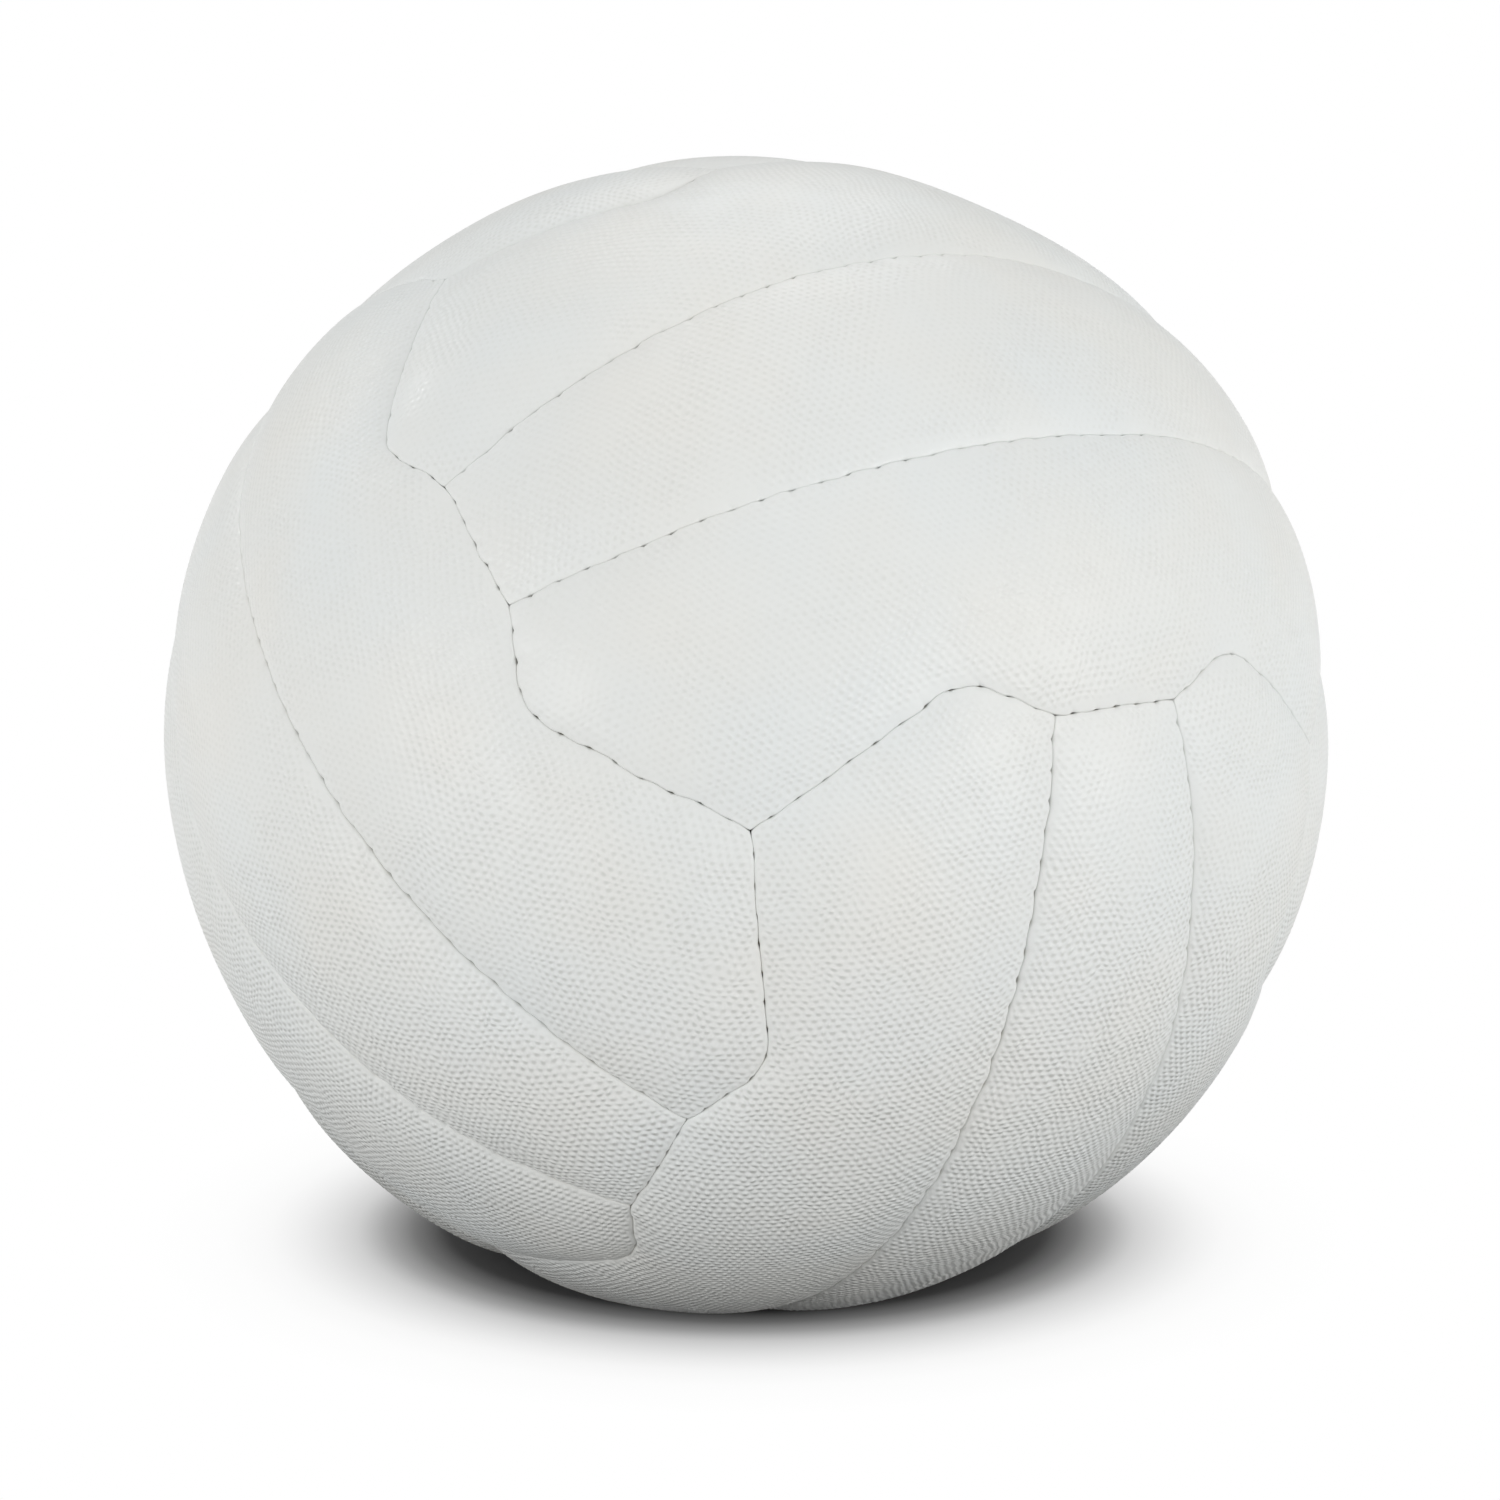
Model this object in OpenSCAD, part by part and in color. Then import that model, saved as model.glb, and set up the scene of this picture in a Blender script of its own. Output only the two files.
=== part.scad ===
// Netball: eighteen sewn cover panels, three to each face of a cube pattern.
// Each panel has a glued cloth lining and a turned-in rim with stitch holes.
// Waxed thread joins the rims. A bladder with a rubber valve lies inside.

/* [Ball] */
// Radius over the crowns of the panels
crown_r = 112; // [100:0.5:125]
// Depth of a panel's rim below the crowns
rim_drop = 2.4; // [2.2:0.1:2.8]
// Part of that depth that the whole panel domes over
dome_drop = 1.6; // [1.2:0.1:1.8]
// Distance from a seam over which the dome fades
dome_reach = 6.5; // [4:0.5:9]
// Distance from a seam over which the rolled rim fades
roll_reach = 0.9; // [0.5:0.1:1.2]

/* [Cover panels] */
// Thickness of a panel at its crown
cover_t = 2.5; // [2.4:0.1:3]
// Thickness of the turned-in rim
flange_t = 1.6; // [1.4:0.1:2]
// Depth of the turned-in rim below the panel's edge
flange_h = 2.4; // [2.2:0.1:3]
// Slit between neighbouring panels
seam_gap = 0.3; // [0.2:0.05:0.4]

/* [Seam pattern] */
// Half of a middle panel's width, seen from the centre, in degrees
strip_angle = 11.6; // [10:0.1:13]
// Reach of a middle panel from its centre, in degrees
strip_reach = 53.1; // [51:0.1:54]
// Reach of an outer panel's bulge along the strips, in degrees
bulge_reach = 57.4; // [56.5:0.1:58.5]
// Place of that bulge across the strips, in degrees
bulge_side = 15.7; // [15:0.1:17]
// Radius of the bulge's round
bulge_round = 12.5; // [8:0.5:14]

/* [Stitching] */
// Distance from stitch to stitch
stitch_pitch = 5.2; // [4.8:0.1:7]
// Distance from a panel's corner to its first stitch
stitch_inset = 3.9; // [3.8:0.1:4.5]
// Diameter of a stitch hole
stitch_hole_d = 1.1; // [1:0.05:1.3]
// Diameter of the waxed thread
thread_d = 0.8; // [0.6:0.05:0.9]

/* [Lining and bladder] */
// Thickness of the cloth lining
lining_t = 1.1; // [0.8:0.1:1.3]
// Wall of the bladder
bladder_t = 0.7; // [0.5:0.1:1]
// Clearance between soft layers
layer_gap = 0.3; // [0.2:0.05:0.35]

/* [Valve] */
// Diameter of the valve's stem
stem_d = 8; // [7:0.5:10]
// Length of the stem inside the bladder's wall
stem_inner_l = 9; // [7:0.5:14]
// Depth of the stem's face below the crown
stem_drop = 0.5; // [0.3:0.1:0.8]
// Diameter of the valve's flange under the bladder's wall
valve_flange_d = 24; // [18:1:30]
// Thickness of that flange
valve_flange_t = 1.4; // [1:0.1:2]
// Diameter of the patch on the bladder round the stem
patch_d = 34; // [32:1:44]
// Thickness of the patch
patch_t = 0.6; // [0.4:0.1:0.7]
// Diameter of the self-sealing plug
plug_d = 5; // [4.5:0.1:5.5]
// Length of the plug
plug_l = 12; // [10:0.5:14]
// Diameter of the needle port in the plug
port_d = 2.1; // [1.8:0.1:2.4]
// Depth of the needle port
port_l = 8; // [6:0.5:9]
// Width of the chamfer round the port's mouth
port_chamfer = 0.6; // [0.4:0.1:0.8]
// Clearance of a moulded rubber fit
fit_gap = 0.1; // [0.05:0.05:0.15]

/* [Lie of the ball] */
// Turn about X, in degrees
lie_x = -39.8; // [-180:0.1:180]
// Turn about Y, in degrees
lie_y = -1.5; // [-90:0.1:90]
// Turn about Z, in degrees
lie_z = -144.3; // [-180:0.1:180]

/* [Hidden] */
$fn = 300;
small_fn = 24;

// Levels from the outside in
rim_r = crown_r - rim_drop;
roll_drop = rim_drop - dome_drop;
under_r = crown_r - cover_t;
flange_r = rim_r - flange_h;
stitch_r = (rim_r + flange_r) / 2;
lining_r = under_r - layer_gap;
bladder_r = flange_r - layer_gap;
bladder_in_r = bladder_r - bladder_t;
stem_top = crown_r - stem_drop;
stem_bottom = bladder_in_r - stem_inner_l;

// Places beside a seam
half_gap = seam_gap / 2;
thread_side = half_gap + flange_t + fit_gap + thread_d / 2;
lining_side = thread_side + thread_d / 2 + layer_gap;
// Slit between the lengths of one thread, which are drawn as plain solids
thread_slit = fit_gap / 2;

// One overrun for every cut
cut_over = 0.5;
// A cone of directions is drawn past the ball by this share
cone_share = 2.2;

// Face name, turn about the cube's corner, and turn to the far side
faces = [
    ["top", 0, 0],
    ["bottom", 0, 180],
    ["left", 120, 0],
    ["right", 120, 180],
    ["front", 240, 0],
    ["back", 240, 180]
];
// Each strip end's edge: its face, the face it meets, and the end's side
edges = [for (f = [0 : 5], side = [0, 1])
    let (next = (floor(f / 2) + 1) % 3)
    [faces[f], faces[2 * next + side], side]];
valve_face = faces[5];

// Vector helpers
function unit(v) = v / norm(v);
function last(list) = list[len(list) - 1];
function reversed(list) = [for (i = [len(list) - 1 : -1 : 0]) list[i]];
function sum_to(list, n) = n == 0 ? 0 : list[n - 1] + sum_to(list, n - 1);
function degrees_of(length, radius) = length / radius * 180 / PI;

// Direction at a reach from +Z towards +X, and to the side towards +Y
function heading(reach, side) = [cos(side) * sin(reach), sin(side), cos(side) * cos(reach)];
// The same direction on the next face round the cube's corner
function next_face(p) = [p[2], p[0], p[1]];
function flip_x(p) = [-p[0], p[1], p[2]];
function flip_y(p) = [p[0], -p[1], p[2]];

// An arc on the unit sphere is its axis, its first point and its sweep
function great_arc(a, b) = [unit(cross(a, b)), a, acos(a * b)];
function off_axis(p, axis) = p - (p * axis) * axis;
function round_arc(a, b, axis) =
    let (ea = unit(off_axis(a, axis)), eb = unit(off_axis(b, axis)))
    [cross(ea, eb) * axis > 0 ? axis : -axis, a, acos(ea * eb)];
function on_arc(arc, share) =
    let (e = off_axis(arc[1], arc[0]), turn = share * arc[2])
    (arc[1] - e) + cos(turn) * e + sin(turn) * cross(arc[0], e);
function arc_angle(arc) = arc[2] * norm(off_axis(arc[1], arc[0]));
function arc_back(arc) = [-arc[0], on_arc(arc, 1), arc[2]];
function arc_flip_x(arc) = [-flip_x(arc[0]), flip_x(arc[1]), arc[2]];
function arc_flip_y(arc) = [-flip_y(arc[0]), flip_y(arc[1]), arc[2]];
// The same arc, and a chain of arcs, on the face before round the cube's corner
function arc_before(arc) =
    [next_face(next_face(arc[0])), next_face(next_face(arc[1])), arc[2]];
function chain_before(chain) = [for (arc = chain) arc_before(arc)];

// Corners of the pattern on the face that looks along +Z
cube_corner = unit([1, 1, 1]);
strip_node = heading(strip_reach, atan(tan(strip_angle) * cos(strip_reach)));
bulge = heading(bulge_reach, bulge_side);

// The bulge's round touches both seams that meet there
round_angle = degrees_of(bulge_round, rim_r);
side_a = unit(cross(bulge, cube_corner));
side_b = unit(cross(strip_node, bulge));
round_lean = sin(round_angle) / (1 + side_a * side_b) * (side_a + side_b);
round_axis = round_lean + sqrt(1 - round_lean * round_lean) * bulge;
round_start = unit(off_axis(round_axis, side_a));
round_end = unit(off_axis(round_axis, side_b));

// Seam from a cube corner to the strip's corner, across the strip's end, and on
half_edge = [
    great_arc(cube_corner, round_start),
    round_arc(round_start, round_end, round_axis),
    great_arc(round_end, strip_node)
];
strip_end = [great_arc(strip_node, flip_y(strip_node))];
far_half_edge = [for (arc = reversed(half_edge)) arc_flip_y(arc_back(arc))];
strip_seam = [great_arc(flip_x(strip_node), strip_node)];
cube_edge = concat(half_edge, strip_end, far_half_edge);

// Points at the given shares of an arc
function stations(arc, shares) = [for (s = shares) on_arc(arc, s)];
function mirrored_shares(shares) = concat(shares, [for (s = reversed(shares)) 1 - s]);

// Shares of each arc at which an outline has a point, closer beside a corner
corner_shares = [0, 0.03, 0.09, 0.27, 0.62];
round_steps = 4;
round_shares = [for (i = [0 : round_steps - 1]) i / round_steps];
node_shares = [0, 0.55, 0.87];
middle_shares = [0, 0.5];
half_edge_points = concat(
    stations(half_edge[0], corner_shares),
    stations(half_edge[1], round_shares),
    stations(half_edge[2], node_shares)
);
// The long side of an outer panel is the next face's strip end, with fewer points
long_half_points = concat(
    stations(half_edge[0], corner_shares),
    stations(half_edge[1], round_shares),
    [round_end]
);
long_side_points = concat(
    long_half_points,
    stations(strip_end[0], middle_shares),
    [for (p = reversed(concat(long_half_points, [strip_node]))) flip_y(p)]
);

// Share of a line's whole length that each of its points has behind it
function line_shares(points) =
    let (steps = [for (i = [1 : len(points) - 1]) norm(points[i] - points[i - 1])],
        whole = sum_to(steps, len(steps)))
    [for (i = [0 : len(steps)]) sum_to(steps, i) / whole];

// Four sides of a panel: near, far, left, right, each run towards +X or +Y
outer_far = reversed([for (p = long_side_points) next_face(next_face(p))]);
outer_u_shares = line_shares(outer_far);
outer_right = reversed(concat(half_edge_points, [strip_node]));
outer_v_shares = line_shares(outer_right);
outer_sides = [
    stations(strip_seam[0], outer_u_shares),
    outer_far,
    [for (p = outer_right) flip_x(p)],
    outer_right
];
middle_u_shares = mirrored_shares([0, 0.005, 0.015, 0.045, 0.13, 0.22, 0.31, 0.4, 0.475]);
middle_v_shares = [0, 0.037, 0.11, 0.28, 0.5, 0.72, 0.89, 0.963, 1];
middle_sides = [
    [for (p = stations(strip_seam[0], middle_u_shares)) flip_y(p)],
    stations(strip_seam[0], middle_u_shares),
    [for (p = reversed(stations(strip_end[0], middle_v_shares))) flip_x(p)],
    reversed(stations(strip_end[0], middle_v_shares))
];

// Corners of a panel, counter-clockwise from outside, with points along its curves
seam_steps = 6;
seam_points = [for (i = [0 : seam_steps]) on_arc(strip_seam[0], i / seam_steps)];
round_points = [for (i = [0 : round_steps]) on_arc(half_edge[1], i / round_steps)];
middle_corners = concat([for (p = seam_points) flip_y(p)], reversed(seam_points));
long_side_corners = concat(
    [cube_corner], round_points, [strip_node, flip_y(strip_node)],
    [for (p = reversed(round_points)) flip_y(p)], [flip_y(cube_corner)]
);
outer_corners = concat(
    seam_points,
    reversed(round_points),
    [for (p = long_side_corners) next_face(next_face(p))],
    [for (p = round_points) flip_x(p)]
);

// Closed outline of a panel, and the same outline moved in by an angle
function outline(sides) = concat(
    [for (i = [0 : len(sides[0]) - 2]) sides[0][i]],
    [for (i = [0 : len(sides[3]) - 2]) sides[3][i]],
    [for (i = [len(sides[1]) - 1 : -1 : 1]) sides[1][i]],
    [for (i = [len(sides[2]) - 1 : -1 : 1]) sides[2][i]]
);
function inset(loop, angle) =
    let (n = len(loop))
    [for (i = [0 : n - 1])
        let (before = unit(cross(loop[(i + n - 1) % n], loop[i])),
            after = unit(cross(loop[i], loop[(i + 1) % n])),
            inward = unit(before + after))
        unit(loop[i] + tan(angle) / (inward * after) * inward)];
function inset_sides(sides, angle) =
    let (loop = inset(outline(sides), angle), n = len(loop),
        nu = len(sides[0]) - 1, nv = len(sides[2]) - 1)
    [
        [for (i = [0 : nu]) loop[i]],
        [for (i = [0 : nu]) loop[2 * nu + nv - i]],
        [for (j = [0 : nv]) loop[(n - j) % n]],
        [for (j = [0 : nv]) loop[nu + j]]
    ];

// Surface between the four sides, as rows of unit directions
function patch(sides, us, vs) = [for (j = [0 : len(vs) - 1]) [for (i = [0 : len(us) - 1])
    let (u = us[i], v = vs[j], near = sides[0], far = sides[1],
        across = (1 - v) * near[i] + v * far[i],
        along = (1 - u) * sides[2][j] + u * sides[3][j],
        near_corners = (1 - u) * near[0] + u * last(near),
        far_corners = (1 - u) * far[0] + u * last(far))
    unit(across + along - (1 - v) * near_corners - v * far_corners)]];

// Level of a panel's face at a distance from its nearest seam
function face_level(d) = crown_r - dome_drop * exp(-d / dome_reach) - roll_drop * exp(-d / roll_reach);
function domed(rows) =
    let (nj = len(rows) - 1, ni = len(rows[0]) - 1)
    [for (j = [0 : nj], i = [0 : ni])
        let (p = rows[j][i],
            d = rim_r * min(norm(p - rows[0][i]), norm(p - rows[nj][i]),
                norm(p - rows[j][0]), norm(p - rows[j][ni])))
        face_level(d) * p];

// Solid from a panel's domed face down to the ball's centre
module domed_block(sides, us, vs) {
    rows = patch(inset_sides(sides, degrees_of(half_gap, rim_r)), us, vs);
    nj = len(vs) - 1;
    ni = len(us) - 1;
    step = ni + 1;
    rim = concat(
        [for (i = [0 : ni - 1]) i],
        [for (j = [0 : nj - 1]) j * step + ni],
        [for (i = [ni : -1 : 1]) nj * step + i],
        [for (j = [nj : -1 : 1]) j * step]
    );
    centre = (ni + 1) * (nj + 1);
    near_cells = [for (j = [0 : nj - 1], i = [0 : ni - 1])
        [j * step + i, (j + 1) * step + i, (j + 1) * step + i + 1]];
    far_cells = [for (j = [0 : nj - 1], i = [0 : ni - 1])
        [j * step + i, (j + 1) * step + i + 1, j * step + i + 1]];
    walls = [for (i = [0 : len(rim) - 1]) [rim[i], rim[(i + 1) % len(rim)], centre]];
    polyhedron(points = concat(domed(rows), [[0, 0, 0]]), faces = concat(near_cells, far_cells, walls));
}

// Cone of directions inside an outline, from the ball's centre to past the ball
module direction_cone(loop, middle) {
    n = len(loop);
    reach = cone_share * crown_r;
    points = concat([for (p = loop) reach * p], [[0, 0, 0]], [reach * middle]);
    walls = [for (i = [0 : n - 1]) [i, (i + 1) % n, n]];
    cap = [for (i = [0 : n - 1]) [(i + 1) % n, i, n + 1]];
    polyhedron(points = points, faces = concat(walls, cap));
}

// Draws its children with Z along an axis and X towards a direction
module along_axis(axis, towards) {
    x = unit(off_axis(towards, axis));
    y = cross(axis, x);
    multmatrix([
        [x[0], y[0], axis[0], 0],
        [x[1], y[1], axis[1], 0],
        [x[2], y[2], axis[2], 0],
        [0, 0, 0, 1]
    ])
        children();
}

// Places of the stitches along a chain of arcs, each as its arc and its share
function chain_angle(chain) = sum_to([for (arc = chain) arc_angle(arc)], len(chain));
function on_chain(chain, angle, i = 0) =
    angle <= arc_angle(chain[i]) || i == len(chain) - 1
        ? [chain[i], angle / arc_angle(chain[i])]
        : on_chain(chain, angle - arc_angle(chain[i]), i + 1);
function stitch_places(chain) =
    let (inset_angle = degrees_of(stitch_inset, stitch_r),
        run = chain_angle(chain) - 2 * inset_angle,
        n = max(1, round(run / degrees_of(stitch_pitch, stitch_r))))
    [for (i = [0 : n]) on_chain(chain, inset_angle + run * i / n)];

// A bar square across a seam, through both rims
module across_seam(place, d, half_l) {
    arc = place[0];
    p = on_arc(arc, place[1]);
    side = unit(off_axis(arc[0], p));
    translate(stitch_r * p)
        along_axis(side, p)
            cylinder(d = d, h = 2 * half_l, center = true, $fn = small_fn);
}

module stitch_holes(chains)
    for (chain = chains, place = stitch_places(chain))
        across_seam(place, stitch_hole_d, half_gap + flange_t + cut_over);

// Thread along one side of an arc, over part of its sweep
module thread_run(arc, from, to, side_angle) {
    spread = acos(arc[1] * arc[0]) + side_angle;
    along_axis(arc[0], on_arc(arc, from))
        translate([0, 0, stitch_r * cos(spread)])
            rotate_extrude(angle = arc[2] * (to - from))
                translate([stitch_r * sin(spread), 0])
                    circle(d = thread_d, $fn = small_fn);
}

module seam_thread(chain) {
    side_angle = degrees_of(thread_side, stitch_r);
    trim = degrees_of(stitch_inset - thread_d / 2, stitch_r);
    slit = degrees_of(thread_slit / 2, stitch_r);
    ends = len(chain) - 1;
    for (i = [0 : ends], side = [-side_angle, side_angle]) {
        from = (i == 0 ? trim : slit) / arc_angle(chain[i]);
        to = 1 - (i == ends ? trim : slit) / arc_angle(chain[i]);
        thread_run(chain[i], from, to, side);
    }
    for (place = stitch_places(chain))
        across_seam(place, thread_d, half_gap + flange_t + fit_gap - thread_slit);
}

// Turns what is drawn on the +Z face onto a named face, as the ball lies
module on_face(face)
    rotate([lie_x, lie_y, lie_z])
        rotate(a = face[1], v = [1, 1, 1])
            rotate([face[2], 0, 0])
                children();

// Hole for the valve through what covers the bladder
module stem_hole(gap)
    cylinder(d = stem_d + 2 * gap, h = crown_r + cut_over);

// Ball with its poles past the ends of the strips that are drawn, clear of the panels
module ball(r)
    rotate([0, 90, 0])
        sphere(r = r);

module cover_panel(sides, us, vs, corners, chains, middle, valve) color("whitesmoke") difference() {
    domed_block(sides, us, vs);
    ball(flange_r);
    intersection() {
        direction_cone(inset(corners, degrees_of(half_gap + flange_t, rim_r)), middle);
        ball(under_r);
    }
    stitch_holes(chains);
    if (valve)
        stem_hole(fit_gap);
}

module lining(corners, middle, valve) color("tan") intersection() {
    direction_cone(inset(corners, degrees_of(lining_side, lining_r)), middle);
    difference() {
        ball(lining_r);
        ball(lining_r - lining_t);
        if (valve)
            stem_hole(layer_gap);
    }
}

middle_aim = [0, 0, 1];
outer_aim = heading(0, 2 * strip_angle);
middle_chains = [
    strip_seam,
    [arc_flip_y(arc_back(strip_seam[0]))],
    strip_end,
    [arc_back(great_arc(flip_x(strip_node), flip_x(flip_y(strip_node))))]
];
outer_chains = [
    strip_seam,
    half_edge,
    [for (arc = half_edge) arc_flip_x(arc)],
    chain_before(half_edge),
    chain_before(strip_end),
    chain_before(far_half_edge)
];

module middle_panel(face) on_face(face)
    cover_panel(middle_sides, middle_u_shares, middle_v_shares, middle_corners, middle_chains, middle_aim,
        face == valve_face);
module middle_lining(face) on_face(face)
    lining(middle_corners, middle_aim, face == valve_face);
// The second outer strip is the first one turned half round about the face's middle
module outer_panel(face, turn) on_face(face) rotate([0, 0, turn])
    cover_panel(outer_sides, outer_u_shares, outer_v_shares, outer_corners, outer_chains, outer_aim, false);
module outer_lining(face, turn) on_face(face) rotate([0, 0, turn])
    lining(outer_corners, outer_aim, false);

module strip_thread(face) color("ivory") on_face(face)
    for (turn = [0, 180])
        rotate([0, 0, turn])
            seam_thread(strip_seam);
module edge_thread(face, turn) color("ivory") on_face(face) rotate([0, 0, turn]) {
    seam_thread(half_edge);
    seam_thread(strip_end);
    seam_thread(far_half_edge);
}

// Hollow rubber bladder with a hole for the valve
module bladder() color("darkred") on_face(valve_face) difference() {
    sphere(r = bladder_r);
    sphere(r = bladder_in_r);
    stem_hole(fit_gap);
}

// Round patch bonded over the bladder round the stem
module valve_patch() color("firebrick") on_face(valve_face) difference() {
    intersection() {
        sphere(r = bladder_r + fit_gap + patch_t);
        cylinder(d = patch_d, h = crown_r);
    }
    sphere(r = bladder_r + fit_gap);
    stem_hole(fit_gap);
}

// Moulded stem with its flange under the bladder's wall and a socket for the plug
module valve_stem() color("dimgray") on_face(valve_face) difference() {
    union() {
        translate([0, 0, stem_bottom])
            cylinder(d = stem_d, h = stem_top - stem_bottom);
        intersection() {
            difference() {
                sphere(r = bladder_in_r - fit_gap);
                sphere(r = bladder_in_r - fit_gap - valve_flange_t);
            }
            cylinder(d = valve_flange_d, h = crown_r);
        }
    }
    translate([0, 0, stem_top - plug_l - fit_gap])
        cylinder(d = plug_d + 2 * fit_gap, h = plug_l + fit_gap + cut_over);
    translate([0, 0, stem_bottom - cut_over])
        cylinder(d = port_d, h = stem_top - plug_l - stem_bottom + cut_over);
}

// Self-sealing plug with the needle port
module valve_plug() color("black") on_face(valve_face) difference() {
    translate([0, 0, stem_top - plug_l])
        cylinder(d = plug_d, h = plug_l);
    translate([0, 0, stem_top - port_l])
        cylinder(d = port_d, h = port_l + cut_over);
    translate([0, 0, stem_top - port_chamfer])
        cylinder(d1 = port_d, d2 = port_d + 4 * port_chamfer, h = 2 * port_chamfer);
}

for (face = faces) {
    middle_panel(face);
    outer_panel(face, 0);
    outer_panel(face, 180);
    middle_lining(face);
    outer_lining(face, 0);
    outer_lining(face, 180);
    strip_thread(face);
}
for (edge = edges)
    edge_thread(edge[0], 180 * edge[2]);
bladder();
valve_patch();
valve_stem();
valve_plug();
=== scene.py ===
# %% [markdown]
# # A hand-stitched netball
# A netball is a rubber bladder inside a cover of eighteen sewn panels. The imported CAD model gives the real
# sizes and the place of each panel, lining and thread. This script dresses it: each panel becomes a skin of
# pimpled rubber, with a rolled rim that the thread pulls down at each stitch. The thread, the cloth and the
# bladder keep their CAD shapes and get better finishes.

import math

import bmesh
import bpy
import numpy as np
from mathutils import Matrix, Vector


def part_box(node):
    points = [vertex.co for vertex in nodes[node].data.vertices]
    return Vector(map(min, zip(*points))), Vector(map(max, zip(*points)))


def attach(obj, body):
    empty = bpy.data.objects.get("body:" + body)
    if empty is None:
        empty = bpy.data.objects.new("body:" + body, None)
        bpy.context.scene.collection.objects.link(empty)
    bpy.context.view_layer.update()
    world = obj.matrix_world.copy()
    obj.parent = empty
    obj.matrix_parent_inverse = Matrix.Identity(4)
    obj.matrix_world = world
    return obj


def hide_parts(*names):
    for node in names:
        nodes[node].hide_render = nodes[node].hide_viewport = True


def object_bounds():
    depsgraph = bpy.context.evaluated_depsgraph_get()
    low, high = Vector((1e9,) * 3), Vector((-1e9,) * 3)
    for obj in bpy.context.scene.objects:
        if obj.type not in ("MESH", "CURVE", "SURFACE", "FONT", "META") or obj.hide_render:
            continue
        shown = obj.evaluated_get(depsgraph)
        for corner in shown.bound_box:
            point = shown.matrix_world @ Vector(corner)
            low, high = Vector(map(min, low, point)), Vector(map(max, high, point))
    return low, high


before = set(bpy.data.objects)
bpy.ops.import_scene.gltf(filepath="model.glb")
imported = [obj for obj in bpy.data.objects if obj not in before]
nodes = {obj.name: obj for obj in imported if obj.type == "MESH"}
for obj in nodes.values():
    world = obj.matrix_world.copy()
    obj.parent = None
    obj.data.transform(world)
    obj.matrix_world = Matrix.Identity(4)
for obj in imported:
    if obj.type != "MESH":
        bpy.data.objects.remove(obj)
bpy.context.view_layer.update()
MM = 0.001

# %% [markdown]
# ## Camera
# The photograph looks down at the ball by 13.5 degrees from 0.7 m away, through a long lens. The ball sits
# a little left of the middle of the picture and above it, so the lens is shifted by that much. Turning the
# camera would move the ball too, but it would change the angle of the view.

# %% Camera
PICTURE = 1500
SENSOR_MM = 36.0
CAMERA_ELEVATION = math.radians(13.5)
CAMERA_DISTANCE = 0.6954
FOCAL_PIXELS = 3580.0
BALL_LEFT_PIXELS = 3.75
BALL_ABOVE_PIXELS = 17.28

camera = bpy.data.objects.new("camera", bpy.data.cameras.new("camera"))
bpy.context.scene.collection.objects.link(camera)
camera.data.sensor_width = SENSOR_MM
camera.data.lens = FOCAL_PIXELS / PICTURE * SENSOR_MM
camera.data.shift_x = BALL_LEFT_PIXELS / PICTURE
camera.data.shift_y = -BALL_ABOVE_PIXELS / PICTURE
camera.location = CAMERA_DISTANCE * Vector((0, -math.cos(CAMERA_ELEVATION), math.sin(CAMERA_ELEVATION)))
camera.rotation_euler = (math.pi / 2 - CAMERA_ELEVATION, 0, 0)
bpy.context.scene.camera = camera
bpy.context.scene.view_settings.view_transform = "Standard"
print("lens", round(camera.data.lens, 1), "mm")

# %% [markdown]
# ## Arcs on the ball
# Every seam is an arc of a circle on the ball. It could be traced as a curve object, but a few numbers are
# exact and easy to turn and mirror. An arc is kept as its axis, its first point and its sweep, on a ball of
# radius 1.

# %% Arcs on the unit ball
RIM_R = 109.6


def unit(v):
    v = np.asarray(v, float)
    return v / np.linalg.norm(v, axis=-1, keepdims=True)


def off_axis(p, axis):
    return p - (p @ axis)[..., None] * axis


def great_arc(a, b):
    return unit(np.cross(a, b)), a, math.acos(a @ b)


def round_arc(a, b, axis):
    ea, eb = unit(off_axis(a, axis)), unit(off_axis(b, axis))
    way = 1.0 if np.cross(ea, eb) @ axis > 0 else -1.0
    return way * axis, a, math.acos(ea @ eb)


def on_arc(arc, share):
    axis, start, sweep = arc
    e = off_axis(start, axis)
    turn = np.asarray(share, float)[..., None] * sweep
    return (start - e) + np.cos(turn) * e + np.sin(turn) * np.cross(axis, e)


def arc_length(arc):
    return arc[2] * np.linalg.norm(off_axis(arc[1], arc[0]))


quarter = great_arc(np.array([1.0, 0.0, 0.0]), np.array([0.0, 1.0, 0.0]))
print("a quarter of the way round:", round(RIM_R * arc_length(quarter), 1), "mm")

# %% [markdown]
# ## Chains of arcs
# A chain of arcs is one seam from corner to corner. The six faces of the ball are the same pattern turned and
# mirrored, so a chain is made once and then moved. Its arcs run the other way when it is read from its end.

# %% Turn, mirror and reverse a chain
FLIP_X = np.diag([-1.0, 1.0, 1.0])
FLIP_Y = np.diag([1.0, -1.0, 1.0])
FACE_BEFORE = np.array([[0.0, 1.0, 0.0], [0.0, 0.0, 1.0], [1.0, 0.0, 0.0]])


def moved_arc(arc, matrix):
    """The arc after a turn or a mirror, which swaps the sense of its axis."""
    return np.linalg.det(matrix) * (matrix @ arc[0]), matrix @ arc[1], arc[2]


def moved(chain, matrix):
    return [moved_arc(arc, matrix) for arc in chain]


def backwards(chain):
    return [(-arc[0], on_arc(arc, 1.0), arc[2]) for arc in reversed(chain)]


print("the quarter, turned to the face before, starts at", moved([quarter], FACE_BEFORE)[0][1])

# %% [markdown]
# ## The seams round one face
# A face is three strips. The seam on a cube's edge starts at the cube's corner, runs round the bulge of the
# outer strip, reaches the strip's end and goes on to the other corner. The angles are the ones that the CAD
# panels are cut to, measured from the middle of the face.

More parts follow.
